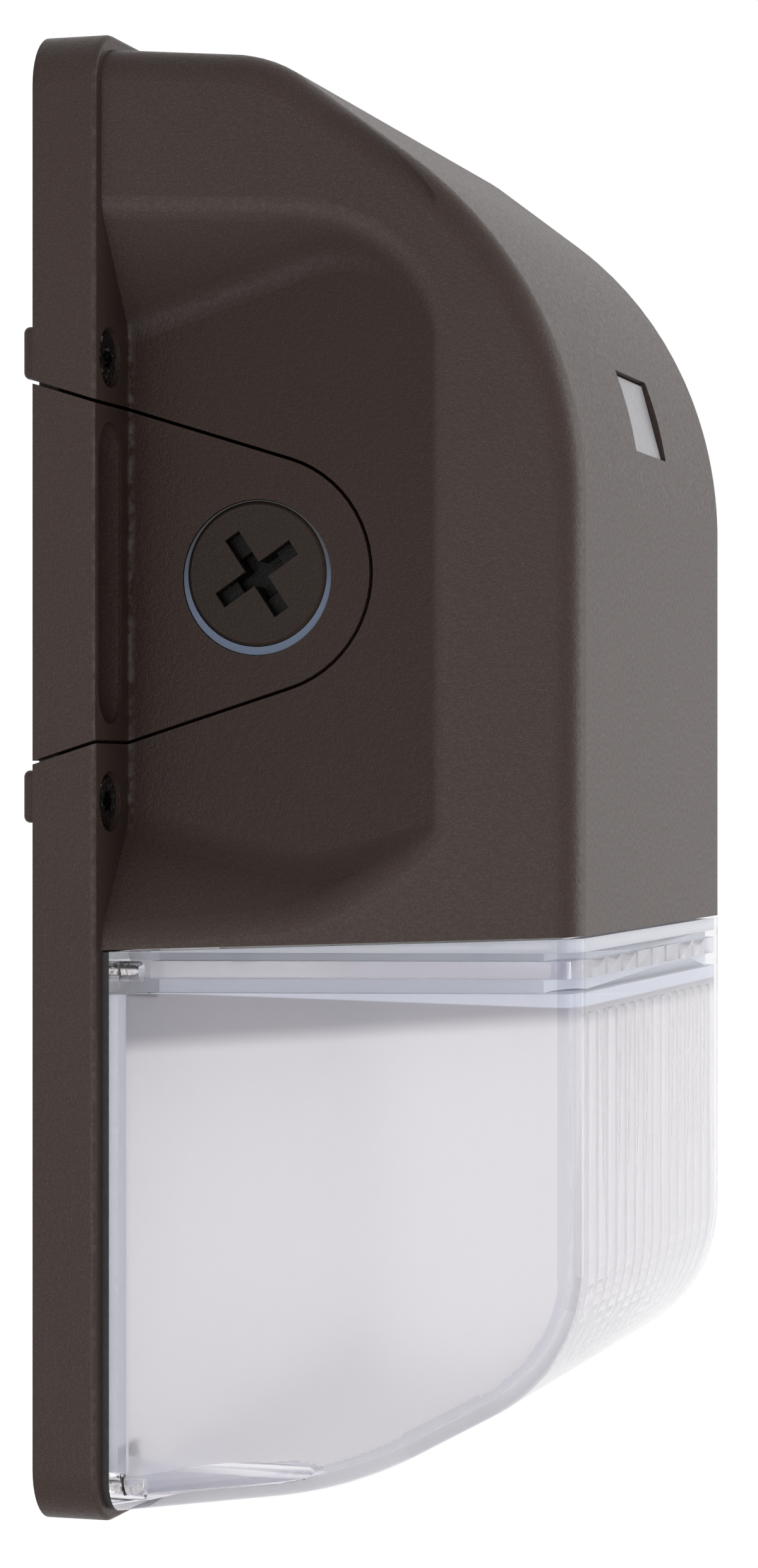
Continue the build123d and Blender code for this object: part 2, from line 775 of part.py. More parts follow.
# Foam strips between back plate and housing, above and below the ears and the screws
gasket_top = rim_top - rim_wall - plate_fit
gasket_break = 2 * screw_height + screw_seat_boss + 2 * gasket_end_gap
gasket_height = gasket_top - parting_back_height
with BuildPart() as housing_gasket:
    with BuildSketch(front(plate_front)):
        with Locations((0, gasket_top - gasket_height / 2)):
            RectangleRounded(plate_width, gasket_height, plate_corner)
            RectangleRounded(
                plate_width - 2 * gasket_width,
                gasket_height - 2 * gasket_width,
                plate_corner - gasket_width,
                mode=Mode.SUBTRACT,
            )
        with Locations((0, -screw_drop)):
            Rectangle(rim_width, gasket_break, mode=Mode.SUBTRACT)
    extrude(amount=ledge_back - gasket_fit - plate_front)
housing_gasket.part.label = "housing_gasket"
export_step(housing_gasket.part, "parts/housing_gasket.step")

# Conduit plugs with a stepped cross slot, and the sealing ring that shows round each head, widest below it
plug_seat = ear_plane.offset(-plug_head_height)
plug_slot_turns = (plug_slot_turn, plug_slot_turn + right_angle)

with BuildPart() as conduit_plug_left:
    with BuildSketch(ear_plane):
        with Locations((ear_depth, 0)):
            Circle(plug_head_diameter / 2)
    extrude(amount=-plug_head_height)
    chamfer(conduit_plug_left.faces().sort_by(Axis.X)[0].edges(), plug_head_chamfer)
    with BuildSketch(plug_seat):
        with Locations((ear_depth, 0)):
            Circle(plug_shank_diameter / 2)
    extrude(amount=-plug_shank_length)
    chamfer(conduit_plug_left.faces().sort_by(Axis.X)[-1].edges(), plug_end_chamfer)
    with BuildSketch(ear_plane):
        with Locations((ear_depth, 0)):
            for turn in plug_slot_turns:
                Rectangle(plug_slot_length, plug_slot_width, rotation=turn)
    extrude(amount=-plug_slot_depth, mode=Mode.SUBTRACT)
    with BuildSketch(ear_plane):
        with Locations((ear_depth, 0)):
            for turn in plug_slot_turns:
                Rectangle(plug_slot_core_length, plug_slot_width, rotation=turn)
    extrude(amount=-plug_slot_core_depth, mode=Mode.SUBTRACT)
conduit_plug_left.part.label = "conduit_plug_left"
export_step(conduit_plug_left.part, "parts/conduit_plug_left.step")

with BuildPart() as conduit_plug_right:
    mirror(conduit_plug_left.part, about=Plane.YZ)
conduit_plug_right.part.label = "conduit_plug_right"
export_step(conduit_plug_right.part, "parts/conduit_plug_right.step")

with BuildPart() as plug_seal_left:
    with BuildSketch(plug_seat):
        with Locations((ear_depth, -plug_seat_drop)):
            Circle(plug_seat_diameter / 2 - plug_seal_fit)
        with Locations((ear_depth, 0)):
            Circle(plug_shank_diameter / 2 + plug_seal_fit, mode=Mode.SUBTRACT)
    extrude(amount=-plug_seal_thickness)
    with BuildSketch(plug_seat):
        with Locations((ear_depth, -plug_seat_drop)):
            Circle(plug_seat_diameter / 2 - plug_seal_fit)
        with Locations((ear_depth, 0)):
            Circle(plug_head_diameter / 2 + plug_seal_fit, mode=Mode.SUBTRACT)
    extrude(amount=plug_head_height - plug_seal_sunk)
plug_seal_left.part.label = "plug_seal_left"
export_step(plug_seal_left.part, "parts/plug_seal_left.step")

with BuildPart() as plug_seal_right:
    mirror(plug_seal_left.part, about=Plane.YZ)
plug_seal_right.part.label = "plug_seal_right"
export_step(plug_seal_right.part, "parts/plug_seal_right.step")

# Four screws with a six-lobed recess, sunk in the ledge
head_top = ledge_depth - screw_sunk
with BuildPart() as housing_screws:
    with BuildSketch(front(head_top)):
        with Locations(*screw_places):
            Circle(screw_head / 2)
    extrude(amount=-screw_head_height)
    chamfer(housing_screws.faces().group_by(Axis.Y)[0].edges(), screw_head_chamfer)
    with BuildSketch(front(head_top)):
        with Locations(*screw_places):
            Circle(screw_recess_radius)
            with PolarLocations(screw_recess_radius, screw_lobes):
                Circle(screw_lobe_radius)
    extrude(amount=-screw_recess_depth, mode=Mode.SUBTRACT)
    with BuildSketch(front(head_top - screw_head_height)):
        with Locations(*screw_places):
            Circle(screw_shank / 2)
    extrude(amount=-screw_length)
housing_screws.part.label = "housing_screws"
export_step(housing_screws.part, "parts/housing_screws.step")

# Gasket under the back edge of the lens, along its sides and its floor, with a pad under each long boss
gasket_outside = lens_section(ledge_depth, lens_gasket_inset)
gasket_inside = lens_section(ledge_depth, lens_wall)
with BuildPart() as gasket_pads:
    with BuildSketch(front(ledge_depth)):
        with Locations(*lower_screw_places):
            Rectangle(lens_pad, lens_pad)
    extrude(amount=lens_gasket_thickness)
    extrude(gasket_outside, amount=lens_gasket_thickness, mode=Mode.INTERSECT)

with BuildPart() as lens_gasket:
    extrude(gasket_outside, amount=lens_gasket_thickness)
    extrude(gasket_inside, amount=lens_gasket_thickness, mode=Mode.SUBTRACT)
    add(gasket_pads.part)
    with Locations(front(gasket_front)):
        with Locations(*lower_screw_places):
            Hole(radius=lens_screw_shank / 2 + lens_hole_clearance, depth=lens_gasket_thickness)
lens_gasket.part.label = "lens_gasket"
export_step(lens_gasket.part, "parts/lens_gasket.step")

# Lens: clear shell with a back flange, two shelves at its top, screw bosses and ribs inside its front
lens_overlap = lens_wall / 2
lens_outside = lens_form(0, gasket_front, 0)
lens_inside = lens_form(lens_wall, gasket_front - 2 * lens_wall, 2 * lens_wall)

with BuildPart() as lens_long_bosses:
    with BuildSketch(front(gasket_front)):
        with Locations(*lower_screw_places):
            Circle(lens_long_boss_diameter / 2)
    extrude(amount=lens_long_boss_length)
    fillet(lens_long_bosses.faces().group_by(Axis.Y)[0].edges(), lens_long_boss_end)

with BuildPart() as lens_bosses:
    with BuildSketch(front(gasket_front)):
        with Locations(*upper_screw_places):
            Circle(lens_boss_diameter / 2)
    extrude(amount=lens_boss_length)
    add(lens_long_bosses.part)
    add(lens_outside, mode=Mode.INTERSECT)

flange_outside = lens_section(gasket_front, lens_overlap)
flange_inside = lens_section(gasket_front, lens_flange_width)
with BuildPart() as lens_flange:
    extrude(flange_outside, amount=lens_flange_thickness)
    extrude(flange_inside, amount=lens_flange_thickness, mode=Mode.SUBTRACT)

rib_outside = lens_side(lens_overlap)
rib_inside = lens_side(lens_wall + rib_height)
rib_top = parting_back_height - rib_drop
rib_end_depth = front_depth - rib_reach
rib_places = [(index - (rib_count - 1) / 2) * rib_pitch for index in range(rib_count)]
with BuildPart() as lens_ribs:
    with BuildSketch(*[left_side.offset(place) for place in rib_places]):
        add(rib_outside)
        add(rib_inside, mode=Mode.SUBTRACT)
        with Locations((rib_end_depth, rib_top)):
            Rectangle(body_depth, rim_height, align=(Align.MIN, Align.MAX), mode=Mode.INTERSECT)
    extrude(amount=rib_width / 2, both=True, taper=rib_taper)

shelf_rings = [shelf_outline(low, lens_overlap, gasket_front) for low, high in shelf_levels]
shelf_rooms = [shelf_outline(low, shelf_reach, ledge_depth) for low, high in shelf_levels]

with BuildPart() as lens_shelves:
    for (low, high), ring, room in zip(shelf_levels, shelf_rings, shelf_rooms):
        extrude(ring, amount=high - low)
        extrude(room, amount=high - low, mode=Mode.SUBTRACT)
    with BuildSketch(Plane.XY.offset(channel_bottom)):
        with Locations((0, -front_depth + (shelf_reach + lens_overlap) / 2)):
            with GridLocations(channel_rib_pitch, 1, channel_rib_count, 1):
                Rectangle(channel_rib_width, shelf_reach - lens_overlap)
    extrude(amount=channel_top - channel_bottom)

with BuildPart() as lens:
    add(lens_outside)
    add(lens_inside, mode=Mode.SUBTRACT)
    add(lens_flange.part)
    add(lens_bosses.part)
    add(lens_shelves.part)
    add(lens_ribs.part)
    with BuildSketch(front(gasket_front)):
        with Locations(*lens_screw_places):
            Circle(lens_screw_shank / 2 + screw_fit)
    extrude(amount=lens_screw_reach, mode=Mode.SUBTRACT)
lens.part.label = "lens"
export_step(lens.part, "parts/lens.step")

# Screws that come from behind, through ledge and gasket, into the lens
with BuildPart() as lens_screws:
    with BuildSketch(front(ledge_back)):
        with Locations(*lens_screw_places):
            Circle(lens_screw_head / 2)
    extrude(amount=-lens_screw_head_height)
    fillet(lens_screws.faces().group_by(Axis.Y)[-1].edges(), lens_screw_head_edge)
    with BuildSketch(front(ledge_back)):
        with Locations(*lens_screw_places):
            Circle(lens_screw_shank / 2)
    extrude(amount=gasket_front - ledge_back + lens_screw_reach - screw_fit)
    chamfer(lens_screws.faces().group_by(Axis.Y)[0].edges(), lens_screw_point)
lens_screws.part.label = "lens_screws"
export_step(lens_screws.part, "parts/lens_screws.step")

# Reflector: white sheet on the ledge, inside the gasket, with its edge under the foot of the lens
reflector_outline = lens_section(ledge_depth, lens_wall + reflector_fit)
with BuildPart() as reflector:
    extrude(reflector_outline, amount=lens_gasket_thickness)
    with BuildSketch(front(ledge_depth)):
        with Locations(*lower_screw_places):
            Rectangle(lens_pad + 2 * reflector_fit, lens_pad + 2 * reflector_fit)
        with Locations(*upper_screw_places):
            Circle(lens_screw_shank / 2 + lens_hole_clearance)
    extrude(amount=lens_gasket_thickness, mode=Mode.SUBTRACT)
reflector.part.label = "reflector"
export_step(reflector.part, "parts/reflector.step")

# Board under the hood floor, with its rows of light emitters, its screws and its connector
board_face = floor_underside.offset(board_thickness)
with BuildPart() as led_board:
    with BuildSketch(floor_underside):
        with Locations((0, board_middle)):
            RectangleRounded(board_width, board_length, board_corner)
            with GridLocations(board_screw_width, board_screw_length, 2, 2):
                Circle(board_screw_shank / 2 + screw_fit, mode=Mode.SUBTRACT)
    extrude(amount=board_thickness)
led_board.part.label = "led_board"
export_step(led_board.part, "parts/led_board.step")

with BuildPart() as leds:
    with BuildSketch(board_face):
        with Locations((0, board_middle)):
            with GridLocations(led_pitch_x, led_pitch_y, led_columns, led_rows):
                Rectangle(led_width, led_length)
    extrude(amount=led_height)
leds.part.label = "leds"
export_step(leds.part, "parts/leds.step")

with BuildPart() as board_screws:
    with BuildSketch(board_face):
        with Locations((0, board_middle)):
            with GridLocations(board_screw_width, board_screw_length, 2, 2):
                Circle(board_screw_head / 2)
    extrude(amount=board_screw_head_height)
    with BuildSketch(board_face):
        with Locations((0, board_middle)):
            with GridLocations(board_screw_width, board_screw_length, 2, 2):
                Circle(board_screw_shank / 2)
    extrude(amount=-board_screw_reach)
board_screws.part.label = "board_screws"
export_step(board_screws.part, "parts/board_screws.step")

with BuildPart() as board_connector:
    with BuildSketch(board_face):
        with Locations((connector_end, lead_hole_start)):
            Rectangle(connector_width, connector_length, align=(Align.MAX, Align.CENTER))
    extrude(amount=connector_height)
    chamfer(board_connector.faces().sort_by(Axis.Z)[0].edges(), connector_chamfer)
board_connector.part.label = "board_connector"
export_step(board_connector.part, "parts/board_connector.step")

# Driver: potted box on two bosses of the hood floor
driver_seat = floor_top.offset(-driver_boss_height)
with BuildPart() as driver:
    with BuildSketch(driver_seat):
        with Locations((0, driver_middle)):
            RectangleRounded(driver_width, driver_length, driver_corner)
    extrude(amount=-driver_height)
    fillet(driver.faces().sort_by(Axis.Z)[-1].edges(), driver_corner)
    with BuildSketch(driver_seat):
        with Locations((0, driver_middle)):
            SlotOverall(driver_flange_width, driver_flange_length)
        with Locations(*driver_screw_spots):
            Circle(driver_screw_shank / 2 + screw_fit, mode=Mode.SUBTRACT)
    extrude(amount=-driver_flange_thickness)
driver.part.label = "driver"
export_step(driver.part, "parts/driver.step")

driver_flange_top = driver_seat.offset(-driver_flange_thickness)
with BuildPart() as driver_screws:
    with BuildSketch(driver_flange_top):
        with Locations(*driver_screw_spots):
            Circle(driver_screw_head / 2)
    extrude(amount=-driver_screw_head_height)
    with BuildSketch(driver_flange_top):
        with Locations(*driver_screw_spots):
            Circle(driver_screw_shank / 2)
    extrude(amount=driver_flange_thickness + driver_screw_reach)
driver_screws.part.label = "driver_screws"
export_step(driver_screws.part, "parts/driver_screws.step")

# Grommet in the hood floor and the two leads that pass through it to the board
with BuildPart() as lead_grommet:
    with BuildSketch(floor_top):
        with Locations(lead_hole_place):
            Circle(lead_hole / 2)
    extrude(amount=hood_wall)
    with BuildSketch(floor_top):
        with Locations(lead_hole_place):
            Circle(lead_grommet_flange / 2)
    extrude(amount=-lead_grommet_lip)
    with BuildSketch(floor_underside):
        with Locations(lead_hole_place):
            Circle(lead_grommet_flange / 2)
    extrude(amount=lead_grommet_lip)
    with Locations(floor_underside.offset(lead_grommet_lip)):
        with Locations(lead_hole_place):
            Hole(radius=lead_grommet_bore / 2)
lead_grommet.part.label = "lead_grommet"
export_step(lead_grommet.part, "parts/lead_grommet.step")

lead_start_height = parting_height(lead_start_depth) + hood_wall + lead_exit_rise
lead_end_height = board_face.from_local_coords((0, lead_hole_start, connector_height / 2)).Z
lead_paths = []
for shift in (-lead_pitch / 2, lead_pitch / 2):
    with BuildLine() as path:
        FilletPolyline(
            (driver_width / 2, shift - lead_start_depth, lead_start_height + shift),
            (lead_side, shift - lead_start_depth, lead_start_height + shift),
            (lead_side, shift - lead_hole_depth, lead_start_height + shift),
            (lead_side, shift - lead_hole_depth, lead_end_height),
            (connector_end, shift - lead_hole_depth, lead_end_height),
            radius=lead_bend,
        )
    lead_paths.append(path.line)
with BuildPart() as led_leads:
    for path in lead_paths:
        with BuildSketch(Plane(origin=path @ 0, z_dir=path % 0)):
            Circle(lead_diameter / 2)
        sweep(path=path)
led_leads.part.label = "led_leads"
export_step(led_leads.part, "parts/led_leads.step")
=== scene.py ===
# %% [markdown]
# Outdoor wall light: dressing the measured solids.
# The solids of the light arrive as a fixed frame: every casting, screw and seal already sits where it belongs,
# in metres. This lesson gives each of them its real finish, swaps a few for meshes with finer detail,
# and sets up a small studio.

# %% Load the frame
from math import pi, radians

import bmesh
import bpy
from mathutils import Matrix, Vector
from mathutils.bvhtree import BVHTree


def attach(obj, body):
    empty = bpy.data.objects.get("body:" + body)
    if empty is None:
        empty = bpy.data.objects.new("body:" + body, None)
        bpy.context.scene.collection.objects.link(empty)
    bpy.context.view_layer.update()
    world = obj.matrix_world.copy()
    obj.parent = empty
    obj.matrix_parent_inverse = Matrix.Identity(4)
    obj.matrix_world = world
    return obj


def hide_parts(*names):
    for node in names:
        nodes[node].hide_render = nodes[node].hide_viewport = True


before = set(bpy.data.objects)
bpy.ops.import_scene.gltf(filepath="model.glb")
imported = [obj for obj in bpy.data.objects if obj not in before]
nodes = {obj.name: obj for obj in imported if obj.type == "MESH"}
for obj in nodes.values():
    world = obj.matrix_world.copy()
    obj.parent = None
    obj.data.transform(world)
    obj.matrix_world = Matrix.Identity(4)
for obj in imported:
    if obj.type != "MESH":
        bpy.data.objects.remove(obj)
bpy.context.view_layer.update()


# %% [markdown]
# The photograph shows the light from its left, level with its middle. Upright edges are upright in it, so
# the camera has no tilt, and the light fills the middle of the picture, so it has no shift either. The
# camera's place is a point in the same frame as the solids, so nothing needs fitting afterwards.

# %% Camera
CAMERA_PLACE = (-0.5861, -0.2075, -0.0301)
CAMERA_TURN = -73.48
CAMERA_LENS = 89.7
NEAREST_SEEN = 0.01

camera_data = bpy.data.cameras.new("camera")
camera_data.lens = CAMERA_LENS
camera_data.clip_start = NEAREST_SEEN
camera = bpy.data.objects.new("camera", camera_data)
camera.location = CAMERA_PLACE
camera.rotation_euler = (pi / 2, 0, radians(CAMERA_TURN))
bpy.context.collection.objects.link(camera)
bpy.context.scene.camera = camera
bpy.context.scene.view_settings.view_transform = "Standard"
print("camera:", CAMERA_PLACE, "turn", CAMERA_TURN, "lens", CAMERA_LENS)

# %% [markdown]
# A shader is a small graph, and wiring it by hand is wordy. Short helpers keep the recipes readable. The
# first adds a node and the second links a socket or sets a plain value. The others are built on those two:
# a step of arithmetic, a range stretched onto another, noise, and one colour laid over another. A Mix node
# has separate sockets for numbers, vectors and colours, so its colour sockets are reached by number.

# %% Shader helpers
MIX_UNDER = 6
MIX_OVER = 7
MIX_RESULT = 2


def add_node(tree, kind, **settings):
    """Adds a node of a kind to a tree, with its properties set."""
    node = tree.nodes.new(kind)
    for key, value in settings.items():
        setattr(node, key, value)
    return node


def feed(tree, socket, value):
    """Links an output socket to an input, or sets the input to a plain value."""
    if isinstance(value, bpy.types.NodeSocket):
        tree.links.new(value, socket)
    else:
        socket.default_value = value


def calculate(tree, operation, *values, **settings):
    """One step of arithmetic on numbers or sockets."""
    node = add_node(tree, "ShaderNodeMath", operation=operation, **settings)
    for socket, value in zip(node.inputs, values):
        feed(tree, socket, value)
    return node.outputs[0]


def stretch(tree, value, start, end, low=0.0, high=1.0, curve="LINEAR"):
    """Stretches a range of values onto another range, held at both ends."""
    node = add_node(tree, "ShaderNodeMapRange", interpolation_type=curve)
    sockets = ("Value", "From Min", "From Max", "To Min", "To Max")
    for socket, given in zip(sockets, (value, start, end, low, high)):
        feed(tree, node.inputs[socket], given)
    return node.outputs["Result"]


def add_noise(tree, place, scale, detail):
    """Noise between nothing and one."""
    noise = add_node(tree, "ShaderNodeTexNoise")
    for socket, value in (("Vector", place), ("Scale", scale), ("Detail", detail)):
        feed(tree, noise.inputs[socket], value)
    return noise.outputs["Fac"]


def lay_over(tree, share, under, over, blend="MIX"):
    """Lays one colour over another by a share."""
    node = add_node(tree, "ShaderNodeMix", data_type="RGBA", blend_type=blend)
    feed(tree, node.inputs["Factor"], share)
    feed(tree, node.inputs[MIX_UNDER], under)
    feed(tree, node.inputs[MIX_OVER], over)
    return node.outputs[MIX_RESULT]


print("shader helpers made, the last one", lay_over.__name__)

# %% [markdown]
# Two effects come back in nearly every finish, so each is a node group, built once and placed with its own
# values. The first is grain: two layers of noise, one fine and one finer. Their mean is a height for bump,
# and the first layer alone is a mask, so that gloss can change along with the grain.

# %% Grain
FINER = 2.6
GRAIN_DETAIL = 2.0


def new_group(name, inputs, outputs):
    """An empty shader node group, with the names and kinds of its sockets."""
    group = bpy.data.node_groups.new(name, "ShaderNodeTree")
    for in_out, sockets in (("INPUT", inputs), ("OUTPUT", outputs)):
        for socket, kind in sockets.items():
            group.interface.new_socket(socket, in_out=in_out, socket_type="NodeSocket" + kind)
    return group, add_node(group, "NodeGroupInput").outputs, add_node(group, "NodeGroupOutput").inputs


def make_grain():
    """Two layers of noise: a height for bump and a mask for roughness."""
    inputs = {"Place": "Vector", "Scale": "Float"}
    group, given, out = new_group("fine_grain", inputs, {"Height": "Float", "Mask": "Float"})
    finer_scale = calculate(group, "MULTIPLY", given["Scale"], FINER)
    coarse = add_noise(group, given["Place"], given["Scale"], GRAIN_DETAIL)
    finer = add_noise(group, given["Place"], finer_scale, GRAIN_DETAIL)
    both = calculate(group, "ADD", coarse, finer)
    feed(group, out["Height"], calculate(group, "MULTIPLY", both, 0.5))
    feed(group, out["Mask"], coarse)
    return group


GRAIN = make_grain()
print("group:", GRAIN.name)

# %% [markdown]
# The second effect is tone. No real surface is one flat colour: thickness, dirt and handling change it a
# little. A slow noise that drifts between two close colours gives that without any picture of the surface.

# %% Tone
TONE_DETAIL = 4.0


def make_tone():
    """A slow drift between two close colours."""
    inputs = {"Place": "Vector", "Scale": "Float", "Light": "Color", "Dark": "Color"}
    group, given, out = new_group("slow_tone", inputs, {"Color": "Color"})
    drift = add_noise(group, given["Place"], given["Scale"], TONE_DETAIL)
    feed(group, out["Color"], lay_over(group, drift, given["Dark"], given["Light"]))
    return group


TONE = make_tone()
print("group:", TONE.name)

# %% [markdown]
# With these two groups most finishes become one recipe: two close tones, grain in the bump, and a gloss
# that follows the grain. What differs is the colours, the scale and depth of the grain, and how glossy the
# surface is. All patterns read Object coordinates: each piece sits unturned at the origin, so these are the
# light's own metres.

# %% One recipe for most finishes
GRAIN_SPREAD = (0.3, 0.7)


def new_material(name, **plain):
    """A material with one Principled shader, whose sockets get plain values."""
    material = bpy.data.materials.new(name)
    material.use_nodes = True
    tree = material.node_tree
    shader = tree.nodes["Principled BSDF"]
    for key, value in plain.items():
        shader.inputs[key.replace("_", " ")].default_value = value
    return material, tree, shader


def object_place(tree):
    """The Object coordinates of a material."""
    return add_node(tree, "ShaderNodeTexCoord").outputs["Object"]


def place_group(tree, group, inputs):
    """Places a group in a material, with its inputs linked or set."""
    node = add_node(tree, "ShaderNodeGroup", node_tree=group)
    for socket, value in inputs.items():
        feed(tree, node.inputs[socket], value)
    return node.outputs


def place_grain(tree, shader, scale, bump, rough):
    """Puts grain on a shader's normal and roughness, and returns the grain's mask."""
    grain = place_group(tree, GRAIN, {"Place": object_place(tree), "Scale": scale})
    dents = add_node(tree, "ShaderNodeBump")
    for socket, value in zip(("Strength", "Distance", "Height"), (*bump, grain["Height"])):
        feed(tree, dents.inputs[socket], value)
    feed(tree, shader.inputs["Normal"], dents.outputs["Normal"])
    feed(tree, shader.inputs["Roughness"], stretch(tree, grain["Mask"], *GRAIN_SPREAD, *rough))
    return grain["Mask"]


def base_finish(name, light, dark, tone, rough, grain, bump, **plain):
    """Two close tones with grain; bump is its strength and its depth in metres."""
    material, tree, shader = new_material(name, **plain)
    inputs = {"Place": object_place(tree), "Scale": tone, "Light": (*light, 1), "Dark": (*dark, 1)}
    feed(tree, shader.inputs["Base Color"], place_group(tree, TONE, inputs)["Color"])
    place_grain(tree, shader, grain, bump, rough)
    return material


print("recipe for finishes:", base_finish.__name__)

# %% [markdown]
# Most of the light is a die casting under dark bronze powder coat. Powder melts into a skin with fine
# dimples, like orange peel, and the grain's bump breaks its gloss up in the same way. Its sheen is low from
# straight ahead and strong at a low angle, which a low index of refraction does. A finer noise adds faint
# pale specks. The plugs wear the same coat, a little darker and finer.

# %% Bronze powder coat
COAT_TONE = 45.0
COAT_ROUGH = (0.34, 0.46)
COAT_BUMP = (0.5, 0.0002)
SPECK_SCALE = 3600.0
SPECK_RANGE = (0.44, 0.74)


def lay_on(material, share, colour, blend="MIX"):
    """Lays a colour over a material's own colour by a share."""
    tree = material.node_tree
    base = tree.nodes["Principled BSDF"].inputs["Base Color"]
    feed(tree, base, lay_over(tree, share, base.links[0].from_socket, (*colour, 1), blend))


def powder_coat(name, light, dark, speck, grain, index):
    """Dimpled powder coat with fine pale specks."""
    material = base_finish(name, light, dark, COAT_TONE, COAT_ROUGH, grain, COAT_BUMP, IOR=index)
    tree = material.node_tree
    specks = place_group(tree, GRAIN, {"Place": object_place(tree), "Scale": SPECK_SCALE})["Mask"]
    lay_on(material, stretch(tree, specks, *SPECK_RANGE), speck)
    return material


bronze_coat = powder_coat(
    "bronze_coat", light=(0.053, 0.034, 0.028), dark=(0.043, 0.027, 0.022), speck=(0.068, 0.050, 0.045),
    grain=1500.0, index=1.27)
bronze_plug_coat = powder_coat(
    "bronze_plug_coat", light=(0.028, 0.018, 0.014), dark=(0.0225, 0.014, 0.011), speck=(0.036, 0.027, 0.024),
    grain=1900.0, index=1.22)
print("coats:", bronze_coat.name, bronze_plug_coat.name)

# %% [markdown]
# Each side of the hood has a wide, shallow pocket, and its floor is darkened with painted shade, the shade
# that the recess would hold. The painted shade could come from a picture; here it comes from the shape. The
# side wall slopes inwards towards the front, and the pocket's floor is flat: a point on the floor gets the
# full shade, a point on the wall none, and a point between them its share. Limits in width, depth and height
# keep it off the rest of the castings.

# %% Painted shade in the side pockets
POCKET_FLOOR = 0.0544
WALL_START = 0.06822
WALL_DRAFT = 0.235
POCKET_FADE = (-0.0586, -0.0574)
POCKET_SIDE = (0.0600, 0.0060)
POCKET_DEPTH = (-0.0350, 0.0235)
POCKET_HEIGHT = (0.0010, 0.0640)
# Painted shade: the colour that the pocket floors are multiplied by.
POCKET_SHADE_COLOUR = (0.56, 0.47, 0.43)


def split_place(tree, place):
    """The distance from the middle to either side, the depth and the height of a place."""
    parts = add_node(tree, "ShaderNodeSeparateXYZ")
    feed(tree, parts.inputs[0], place)
    return calculate(tree, "ABSOLUTE", parts.outputs["X"]), parts.outputs["Y"], parts.outputs["Z"]


def pocket_shade_mask(tree):
    """Mask of painted shade: one on the floor of a side pocket, nothing on the wall round it."""
    side, depth, height = split_place(tree, object_place(tree))
    wall = calculate(tree, "MULTIPLY_ADD", depth, WALL_DRAFT, WALL_START)
    sunk = stretch(tree, side, POCKET_FLOOR, wall, 1.0, 0.0)
    mask = calculate(tree, "MULTIPLY", sunk, stretch(tree, depth, *POCKET_FADE, curve="SMOOTHSTEP"))
    limits = ((side, POCKET_SIDE), (depth, POCKET_DEPTH), (height, POCKET_HEIGHT))
    for measure, (middle, reach) in limits:
        inside = calculate(tree, "COMPARE", measure, middle, reach)
        mask = calculate(tree, "MULTIPLY", mask, inside)
    return mask


# Painted shade: the mask multiplies the pocket floors' colour darker.
lay_on(bronze_coat, pocket_shade_mask(bronze_coat.node_tree), POCKET_SHADE_COLOUR, "MULTIPLY")
print("pocket floors", POCKET_FLOOR, "from the middle")

# %% [markdown]
# Pale specks lie along the front edge of the rim and in the corner behind each side pocket: partly dust caught
# there, partly painted highlight along the lit edges. Painting them by hand would need a picture; a mask made
# from the distance to such a line, broken up by noise, follows the solid exactly. Both lines use one group,
# each with its own distance from the middle and its own depth.

# %% Dust and painted highlight along two lines
# Colour of the pale specks: partly dust, partly painted highlight.
DUST_AND_HIGHLIGHT_COLOUR = (0.105, 0.093, 0.087)
DUST_AND_HIGHLIGHT_SCALE = 620.0
DUST_AND_HIGHLIGHT_DETAIL = 4.0
DUST_AND_HIGHLIGHT_RANGE = (0.42, 0.74)
RIM_LINE = {"Side": 0.0682, "Side Reach": 0.0012, "Depth": -0.01175, "Depth Reach": 0.00045}
CORNER_LINE = {"Side": 0.0544, "Side Reach": 0.0009, "Depth": -0.0123, "Depth Reach": 0.0009}


def near_value(tree, value, centre, reach):
    """Mask that falls from one to nothing as a value leaves a centre."""
    away = calculate(tree, "ABSOLUTE", calculate(tree, "SUBTRACT", value, centre))
    share = calculate(tree, "DIVIDE", away, reach)
    return calculate(tree, "SUBTRACT", 1.0, share, use_clamp=True)


def make_dust_and_highlight_line():
    """Mask of pale specks, partly dust and partly painted highlight, along an upright line on both sides."""
    inputs = {"Place": "Vector", **{measure: "Float" for measure in RIM_LINE}}
    group, given, out = new_group("dust_and_highlight_line", inputs, {"Mask": "Float"})
    side, depth, _ = split_place(group, given["Place"])
    line = calculate(group, "MULTIPLY", near_value(group, side, given["Side"], given["Side Reach"]),
                     near_value(group, depth, given["Depth"], given["Depth Reach"]))
    noise = add_noise(group, given["Place"], DUST_AND_HIGHLIGHT_SCALE, DUST_AND_HIGHLIGHT_DETAIL)
    feed(group, out["Mask"], calculate(group, "MULTIPLY", line, stretch(group, noise, *DUST_AND_HIGHLIGHT_RANGE)))
    return group


DUST_AND_HIGHLIGHT_LINE = make_dust_and_highlight_line()
for dust_and_highlight_place in (RIM_LINE, CORNER_LINE):
    coat_tree = bronze_coat.node_tree
    dust_and_highlight = place_group(coat_tree, DUST_AND_HIGHLIGHT_LINE, {"Place": object_place(coat_tree), **dust_and_highlight_place})
    # Lays the pale specks on: partly dust, partly painted highlight along the edges.
    lay_on(bronze_coat, dust_and_highlight["Mask"], DUST_AND_HIGHLIGHT_COLOUR)
print("dust lines at depth", RIM_LINE["Depth"], "and", CORNER_LINE["Depth"])

# %% [markdown]
# A deep cross slot is cut into the head of each plug. Little light comes back out of it, so the colour goes
# over to near black below the face of the head. How far a point lies from the plug's axis keeps the dark
# off the rest of the plug.

